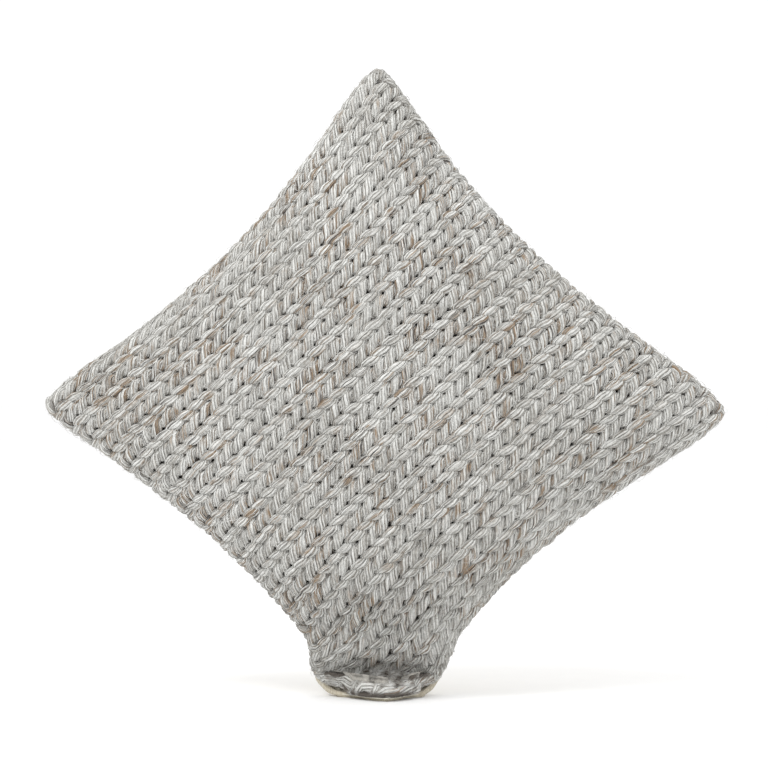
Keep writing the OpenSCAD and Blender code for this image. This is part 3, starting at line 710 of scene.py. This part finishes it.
sewing_thread, wire = new_material("sewing_thread")
spot = wire.node("ShaderNodeTexCoord", out=3)
ply = spot.noise(2600, 2, 0.6)
twine = ply.fade(0.35, 0.65).blend((0.52, 0.48, 0.38, 1), (0.80, 0.77, 0.67, 1))
surface(wire, ply, 0.0001, 0.8, Base_Color=twine, Roughness=0.6, Sheen_Weight=0.2)
binding_tape, wire = new_material("binding_tape")
spot = wire.node("ShaderNodeTexCoord", out=3)
rib = spot.node("ShaderNodeTexWave", {"bands_direction": "DIAGONAL"},
                {"Vector": spot, "Scale": 260.0, "Distortion": 1.0})
surface(wire, rib, 0.0002, 0.8,
        Base_Color=rib.blend((0.50, 0.46, 0.36, 1), (0.70, 0.66, 0.55, 1)), Roughness=0.9)
cad_finish(sewing_thread, "seam_thread")
cad_finish(binding_tape, "seam_binding")


# ---------------------------------------------------------------- zip
# Moulded teeth on herringbone tapes, sewn under the folded edges of the back with one row
# of topstitching each side and a bar tack across each end. Slider and pull are worn nickel.
tilt_sin, tilt_cos = math.sin(zip_tilt), math.cos(zip_tilt)
zip_out = np.array([zip_across[0] * tilt_sin, tilt_cos, zip_across[1] * tilt_sin])
zip_side = np.array([zip_across[0] * tilt_cos, -tilt_sin, zip_across[1] * tilt_cos])
zip_run = np.array([zip_along[0], 0, zip_along[1]])
zip_centre = np.array([zip_place[0] - middle_x, zip_y, zip_place[1]]) - zip_out * zip_r


def on_zip(distance, rise, aside):
    """A place at a distance down the chain, a rise over the tapes and a step to one side."""
    angle = np.asarray(distance) / zip_r
    return (zip_centre + zip_out * ((zip_r + rise) * np.cos(angle))[..., None]
            - zip_run * ((zip_r + rise) * np.sin(angle))[..., None] + zip_side * np.asarray(aside)[..., None])


def zip_measure(wire, direction):
    """Distance along one of the zip's directions, as a socket."""
    offset = wire.node("ShaderNodeVectorMath", {"operation": "SUBTRACT"},
                       {0: wire.node("ShaderNodeTexCoord", out=3), 1: tuple(zip_centre + zip_out * zip_r)})
    return wire.node("ShaderNodeVectorMath", {"operation": "DOT_PRODUCT"},
                     {0: offset, 1: tuple(direction)}, out=1)


herringbone, wire = new_material("herringbone_tape")
run, aside = zip_measure(wire, zip_run), zip_measure(wire, zip_side)
zigzag = wire.maths("PINGPONG", aside * (1 / 0.0015), 1.0)
rib = wire.maths("SINE", (run * (1 / 0.0008) + zigzag * 1.1) * (2 * math.pi)) * 0.5 + 0.5
fluffy = wire.node("ShaderNodeTexCoord", out=3).noise(1500, 3, 0.6)
tape_shade = (rib * 0.7 + fluffy * 0.3).blend((0.45, 0.41, 0.32, 1), (0.72, 0.68, 0.57, 1))
surface(wire, rib * 0.8 + fluffy * 0.3, 0.0002, 0.9, Base_Color=tape_shade, Roughness=0.85)
cad_finish(herringbone, "zip_tape_main", "zip_tape_strip")

moulded_teeth, wire = new_material("moulded_teeth")
smudge = wire.node("ShaderNodeTexCoord", out=3).noise(300, 3, 0.6)
surface(wire, smudge, 0.00004, 0.5, Base_Color=smudge.blend((0.60, 0.55, 0.44, 1), (0.78, 0.74, 0.64, 1)),
        Roughness=smudge * 0.25 + 0.25, Coat_Weight=0.2)
cad_finish(moulded_teeth, "zip_teeth_main", "zip_teeth_strip")

worn_nickel, wire = new_material("worn_nickel")
spot = wire.node("ShaderNodeTexCoord", out=3)
scratch = spot.node("ShaderNodeMapping", {}, {"Vector": spot, "Rotation": (0.3, 0.2, 0.8),
                                              "Scale": (1.0, 14.0, 14.0)}).noise(260, 4, 0.7)
tarnish = spot.noise(420, 4, 0.65)
surface(wire, scratch, 0.00003, 0.6,
        Base_Color=tarnish.fade(0.42, 0.62).blend((0.30, 0.27, 0.22, 1), (0.62, 0.60, 0.56, 1)),
        Roughness=scratch * 0.35 + tarnish * 0.25, Metallic=0.95)
cad_finish(worn_nickel, "zip_slider", "zip_pull", "zip_top_stops", "zip_bottom_stop")

stitch_pitch = 0.0032
stitch_r = 0.00033
on_canvas = 2 * layer_gap + canvas_t
topstitches = []
for side in (-1, 1):
    for start in np.arange(-zip_half, zip_half - stitch_pitch / 2, stitch_pitch):
        t = np.linspace(0.06, 0.94, 5)
        dip = 0.00065 * np.abs(2 * t - 1) ** 3
        wander = shuffle.normal(0, 0.00012)
        topstitches.append((on_zip(start + t * stitch_pitch, on_canvas + stitch_r - dip,
                                   np.full(5, side * (opening / 2 + 0.0025) + wander)),
                            stitch_r * (1 - 0.35 * np.abs(2 * t - 1) ** 3)))
topstitch = strands("topstitching", topstitches, 1, sewing_thread)
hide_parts("zip_stitches")

tack_rows = 15
tacks = []
for end in (-1, 1):
    k = np.arange(2 * tack_rows)
    swing = np.where(k % 2 == 0, -1.0, 1.0) * (opening / 2 - 0.0003)
    down = end * (zip_half + tape_past / 2) + (k / (2 * tack_rows - 1) - 0.5) * 0.0018
    tacks.append((on_zip(down, on_canvas + 0.0004 + 0.0001 * (k % 3), swing), 0.00028))
bar_tacks = strands("bar_tacks", tacks, 1, sewing_thread)
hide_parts("zip_bar_tacks")


# ---------------------------------------------------------------- care label
# A blank satin ribbon caught in the right-hand seam, lying between the insert and the back.
label_u, label_v = np.meshgrid(np.linspace(0.84, 0.955, 12), np.linspace(-0.309, -0.191, 14),
                               indexing="ij")
a, b = outline(label_u, label_v)
label_x, label_z = standing(a, b)
label_y = 0.0008 + 0.0672 * stuffed(label_u, label_v) * (1 - neck_squeeze * neck(label_z)) \
    - 0.0006 * np.sin((label_u - 0.84) * 60) * (0.955 - label_u) / 0.115
satin, wire = new_material("satin_ribbon")
weft = wire.node("ShaderNodeUVMap", {"uv_map": "UVMap"})
floats = weft.node("ShaderNodeTexWave", {"bands_direction": "Y"},
                   {"Vector": weft, "Scale": 900.0, "Distortion": 0.5})
surface(wire, floats, 0.00008, 0.6, Roughness=0.38, Sheen_Weight=0.2,
        Base_Color=floats.blend((0.74, 0.74, 0.72, 1), (0.86, 0.86, 0.84, 1)))
label = cloth_piece("care_ribbon", crushed(label_x, label_y, label_z, 0.002), (0.030, 0.026), 0.0003, satin)
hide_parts("care_label")


# ---------------------------------------------------------------- insert
# The pad that fills the cover: a white non-woven case, closed all round with an overlocked
# edge, stuffed with loose polyester. It is a little smaller than the cover.
insert_side = half_side - 0.017
pad_cells = 120
pad_lines = np.linspace(-1, 1, pad_cells + 1)
pad_u, pad_v = np.meshgrid(pad_lines, pad_lines, indexing="ij")


def insert_outline(u, v):
    return outline(u, v, insert_side, np.where((u < 0) & (v < 0), 0.044, 0.026), 6)


def insert_face(middle_y, floor_z):
    """One face of the pad, drawn in at its edge where the overlock gathers it."""
    x, z = standing(*insert_outline(pad_u, pad_v))
    rim = np.exp(-(1 - np.maximum(np.abs(pad_u), np.abs(pad_v))) * insert_side / 0.014)
    run = np.where(np.abs(pad_u) > np.abs(pad_v), pad_v, pad_u) * insert_side
    gathers = 1 + 0.10 * rim * np.sin(run / 0.0042 + 1.5 * np.sin(run / 0.017)) \
        - 0.012 * np.sin(pad_u * 7 + pad_v * 5) * np.sin(pad_v * 8)
    y = middle_y * stuffed(pad_u, pad_v) * (1 - neck_squeeze * neck(z)) * np.minimum(1, gathers)
    return crushed(x, y, z, floor_z)


case_cloth, wire = new_material("non_woven_case")
spot = wire.node("ShaderNodeTexCoord", out=3)
dimple = spot.node("ShaderNodeTexVoronoi", {"feature": "F1"}, {"Vector": spot, "Scale": 420.0})
wisps = spot.noise(160, 4, 0.7)
surface(wire, dimple * 0.6 + wisps * 0.5, 0.0003, 0.7,
        Base_Color=wisps.blend((0.78, 0.78, 0.76, 1), (0.90, 0.90, 0.89, 1)),
        Roughness=0.8, Sheen_Weight=0.15)
pad = bmesh.new()
for face_place in (insert_face(-0.0683, 0.0044), insert_face(0.0722, 0.0024)):
    grown = bmesh.ops.create_grid(pad, x_segments=pad_cells, y_segments=pad_cells, size=1)["verts"]
    for vert in grown:
        r, c = round((vert.co.y + 1) * pad_cells / 2), round((vert.co.x + 1) * pad_cells / 2)
        vert.co = face_place[r, c]
border = [v for v in pad.verts if v.is_boundary]
bmesh.ops.remove_doubles(pad, verts=border, dist=0.0001)
bmesh.ops.recalc_face_normals(pad, faces=pad.faces)
for face in pad.faces:
    face.smooth = True
insert = bpy.data.objects.new("insert_pad", bpy.data.meshes.new("insert_pad"))
pad.to_mesh(insert.data)
pad.free()
bpy.context.scene.collection.objects.link(insert)
insert.data.materials.append(case_cloth)
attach(insert, "cover")
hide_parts("insert_case_front", "insert_case_back", "insert_fill")

# The overlock: one thread wound over the case's edge all the way round.
loop_pitch = 0.0034
rings_per_loop = 6
sides = np.linspace(-1, 1, 200)
full = np.ones(len(sides))
lap = np.concatenate([np.c_[sides, -full], np.c_[full, sides], np.c_[-sides, full], np.c_[-full, -sides]])
edge_x, edge_z = standing(*insert_outline(lap[:, 0], lap[:, 1]))
edge_line = crushed(edge_x, np.zeros(len(lap)), edge_z, 0.0046)
travel = np.r_[0, np.cumsum(np.linalg.norm(np.diff(edge_line, axis=0), axis=1))]
loops = int(travel[-1] / loop_pitch)
steps = np.linspace(0, travel[-1], loops * rings_per_loop)
middle = np.stack([np.interp(steps, travel, edge_line[:, k]) for k in range(3)], -1)
ahead = np.gradient(middle, axis=0)
ahead /= np.maximum(1e-9, np.linalg.norm(ahead, axis=1, keepdims=True))
facing = np.cross(ahead, (0, 1, 0))
facing /= np.maximum(1e-9, np.linalg.norm(facing, axis=1, keepdims=True))
wind = np.arange(len(steps)) / rings_per_loop * 2 * np.pi
coil = middle + facing * (np.cos(wind) * 0.0009)[:, None] \
    + np.array((0, 1, 0)) * (np.sin(wind) * 0.0006)[:, None]
overlock = strands("overlock", [(coil, 0.00022)], 0, sewing_thread)
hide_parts("insert_seam")
